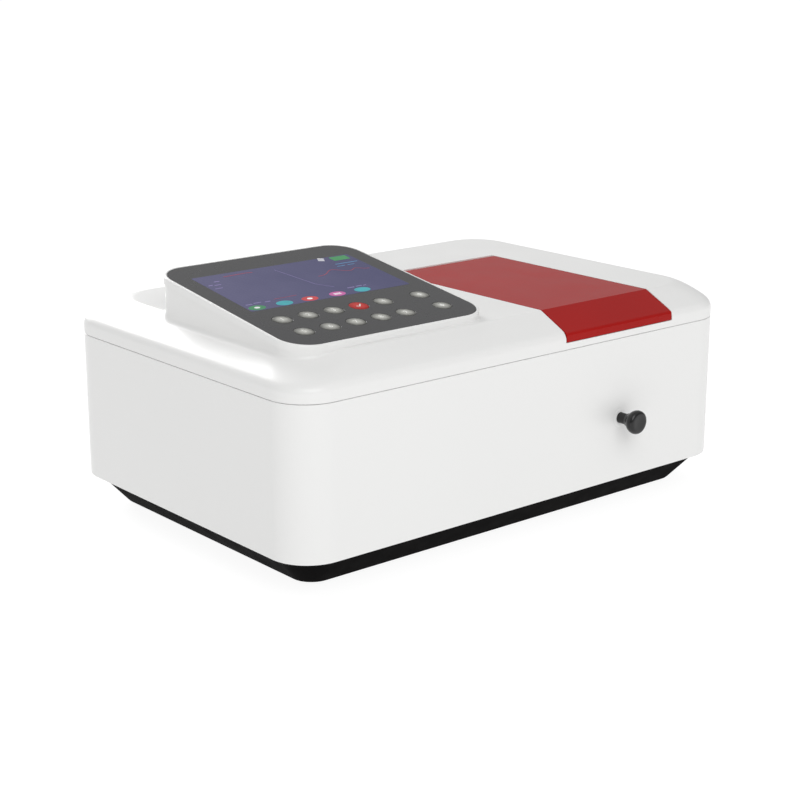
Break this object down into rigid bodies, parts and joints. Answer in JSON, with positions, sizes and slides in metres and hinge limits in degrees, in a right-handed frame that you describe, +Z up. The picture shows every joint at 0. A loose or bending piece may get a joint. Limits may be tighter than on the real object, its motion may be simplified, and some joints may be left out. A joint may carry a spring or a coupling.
{
  "type": "spectrophotometer",
  "caption": "Bench spectrophotometer: white housing on a black plinth, tilted display with keypad, hinged red sample lid, pull-rod cuvette carriage, optics, lamps and electronics inside.",
  "frame": {"origin": "on the bench, under the middle of the whole object's box", "axes": "+X right along the front, +Y to the back, +Z up"},
  "size_m": [0.46, 0.34, 0.2106],
  "materials": {
    "white_abs": "satin white moulded ABS",
    "red_pmma": "smooth dark red acrylic",
    "black_abs": "fine-textured black ABS",
    "black_rubber": "matt rubber",
    "overlay_glass": "glossy dark printed panel",
    "lcd_screen": "lit colour screen",
    "key_grey": "satin grey keycap",
    "key_red": "satin red keycap",
    "circuit_board": "green solder mask",
    "bright_steel": "ground stainless steel",
    "cast_aluminium": "as-cast",
    "black_anodised": "black anodised",
    "cuvette_glass": "clear optical glass",
    "lamp_glass": "clear lamp glass",
    "front_mirror": "front-surface mirror",
    "brass": "machined",
    "ribbon_cable": "grey flat cable",
    "zinc_plated_steel": "zinc plated"
  },
  "bodies": {
    "base": {"base_pan": "black_abs", "carriage_rail_left": "bright_steel", "carriage_rail_right": "bright_steel", "collimating_mirror": "front_mirror", "detector_housing": "black_anodised", "deuterium_lamp": "lamp_glass", "display_bezel": "white_abs", "display_ribbon": "ribbon_cable", "fan_frame": "black_abs", "filter_wheel_motor": "zinc_plated_steel", "foot_front_left": "black_rubber", "foot_front_right": "black_rubber", "foot_rear_left": "black_rubber", "foot_rear_right": "black_rubber", "keypad_board": "circuit_board", "lamp_house": "zinc_plated_steel", "lcd_module": "lcd_screen", "lid_hinge_pin_left": "bright_steel", "lid_hinge_pin_right": "bright_steel", "lower_housing": "white_abs", "main_board": "circuit_board", "mains_inlet": "black_abs", "monochromator_case": "cast_aluminium", "monochromator_lid": "cast_aluminium", "panel_overlay": "overlay_glass", "power_supply": "zinc_plated_steel", "rod_bush": "white_abs", "sample_tray": "black_abs", "switch_frame": "black_abs", "top_cover": "white_abs", "tungsten_lamp": "lamp_glass", "usb_socket": "zinc_plated_steel", "wavelength_motor": "zinc_plated_steel"},
    "lid": {"sample_lid": "red_pmma"},
    "carriage": {"cell_carriage": "black_anodised", "pull_rod": "black_anodised", "pull_knob": "black_abs", "cuvette_1": "cuvette_glass", "cuvette_2": "cuvette_glass", "cuvette_3": "cuvette_glass", "cuvette_4": "cuvette_glass"},
    "rocker": {"switch_rocker": "black_abs"},
    "fan": {"fan_rotor": "black_abs"},
    "grating": {"grating_table": "brass", "diffraction_grating": "front_mirror"},
    "pinion": {"drive_pinion": "brass"},
    "filters": {"filter_wheel": "black_anodised"},
    "source_mirror": {"lamp_mirror": "front_mirror"},
    "key_01_body": {"key_01": "key_grey"},
    "key_02_body": {"key_02": "key_grey"},
    "key_03_body": {"key_03": "key_grey"},
    "key_04_body": {"key_04": "key_red"},
    "key_05_body": {"key_05": "key_grey"},
    "key_06_body": {"key_06": "key_grey"},
    "key_07_body": {"key_07": "key_grey"},
    "key_08_body": {"key_08": "key_grey"},
    "key_09_body": {"key_09": "key_grey"},
    "key_10_body": {"key_10": "key_grey"},
    "key_11_body": {"key_11": "key_grey"},
    "key_12_body": {"key_12": "key_grey"}
  },
  "joints": [
    {"name": "lid_hinge", "type": "hinge", "parent": "base", "child": "lid", "pos_m": [0.0975, 0.06825, 0.172], "axis": [-1, 0, 0], "range_deg": [0, 85]},
    {"name": "carriage_slide", "type": "slide", "parent": "base", "child": "carriage", "axis": [0, -1, 0], "range_m": [0, 0.057]},
    {"name": "key_01_press", "type": "slide", "parent": "base", "child": "key_01_body", "axis": [0, 0.1452, -0.9894], "range_m": [0, 0.001], "stiffness_N_per_m": 300, "springref_m": -0.001},
    {"name": "key_02_press", "type": "slide", "parent": "base", "child": "key_02_body", "axis": [0, 0.1452, -0.9894], "range_m": [0, 0.001], "stiffness_N_per_m": 300, "springref_m": -0.001},
    {"name": "key_03_press", "type": "slide", "parent": "base", "child": "key_03_body", "axis": [0, 0.1452, -0.9894], "range_m": [0, 0.001], "stiffness_N_per_m": 300, "springref_m": -0.001},
    {"name": "key_04_press", "type": "slide", "parent": "base", "child": "key_04_body", "axis": [0, 0.1452, -0.9894], "range_m": [0, 0.001], "stiffness_N_per_m": 300, "springref_m": -0.001},
    {"name": "key_05_press", "type": "slide", "parent": "base", "child": "key_05_body", "axis": [0, 0.1452, -0.9894], "range_m": [0, 0.001], "stiffness_N_per_m": 300, "springref_m": -0.001},
    {"name": "key_06_press", "type": "slide", "parent": "base", "child": "key_06_body", "axis": [0, 0.1452, -0.9894], "range_m": [0, 0.001], "stiffness_N_per_m": 300, "springref_m": -0.001},
    {"name": "key_07_press", "type": "slide", "parent": "base", "child": "key_07_body", "axis": [0, 0.1452, -0.9894], "range_m": [0, 0.001], "stiffness_N_per_m": 300, "springref_m": -0.001},
    {"name": "key_08_press", "type": "slide", "parent": "base", "child": "key_08_body", "axis": [0, 0.1452, -0.9894], "range_m": [0, 0.001], "stiffness_N_per_m": 300, "springref_m": -0.001},
    {"name": "key_09_press", "type": "slide", "parent": "base", "child": "key_09_body", "axis": [0, 0.1452, -0.9894], "range_m": [0, 0.001], "stiffness_N_per_m": 300, "springref_m": -0.001},
    {"name": "key_10_press", "type": "slide", "parent": "base", "child": "key_10_body", "axis": [0, 0.1452, -0.9894], "range_m": [0, 0.001], "stiffness_N_per_m": 300, "springref_m": -0.001},
    {"name": "key_11_press", "type": "slide", "parent": "base", "child": "key_11_body", "axis": [0, 0.1452, -0.9894], "range_m": [0, 0.001], "stiffness_N_per_m": 300, "springref_m": -0.001},
    {"name": "key_12_press", "type": "slide", "parent": "base", "child": "key_12_body", "axis": [0, 0.1452, -0.9894], "range_m": [0, 0.001], "stiffness_N_per_m": 300, "springref_m": -0.001},
    {"name": "power_switch", "type": "hinge", "parent": "base", "child": "rocker", "pos_m": [0.095, 0.1639, 0.08], "axis": [0, 0, -1], "range_deg": [0, 18]},
    {"name": "fan_spin", "type": "hinge", "parent": "base", "child": "fan", "pos_m": [-0.08, 0.1587, 0.092], "axis": [0, 1, 0], "continuous": true},
    {"name": "grating_turn", "type": "hinge", "parent": "base", "child": "grating", "pos_m": [-0.005, 0.00025, 0.07], "axis": [0, 0, 1], "range_deg": [-18, 18]},
    {"name": "pinion_turn", "type": "hinge", "parent": "base", "child": "pinion", "pos_m": [-0.0425, 0.00025, 0.07], "axis": [0, 0, 1], "range_deg": [-73, 73]},
    {"name": "filter_wheel_turn", "type": "hinge", "parent": "base", "child": "filters", "pos_m": [-0.028, 0.05625, 0.09], "axis": [0, 1, 0], "continuous": true},
    {"name": "source_mirror_turn", "type": "hinge", "parent": "base", "child": "source_mirror", "pos_m": [-0.052, 0.11025, 0.07], "axis": [0, 0, 1], "range_deg": [0, 70]}
  ],
  "couplings": [
    {"joint": "pinion_turn", "follows": "grating_turn", "ratio": -4}
  ]
}
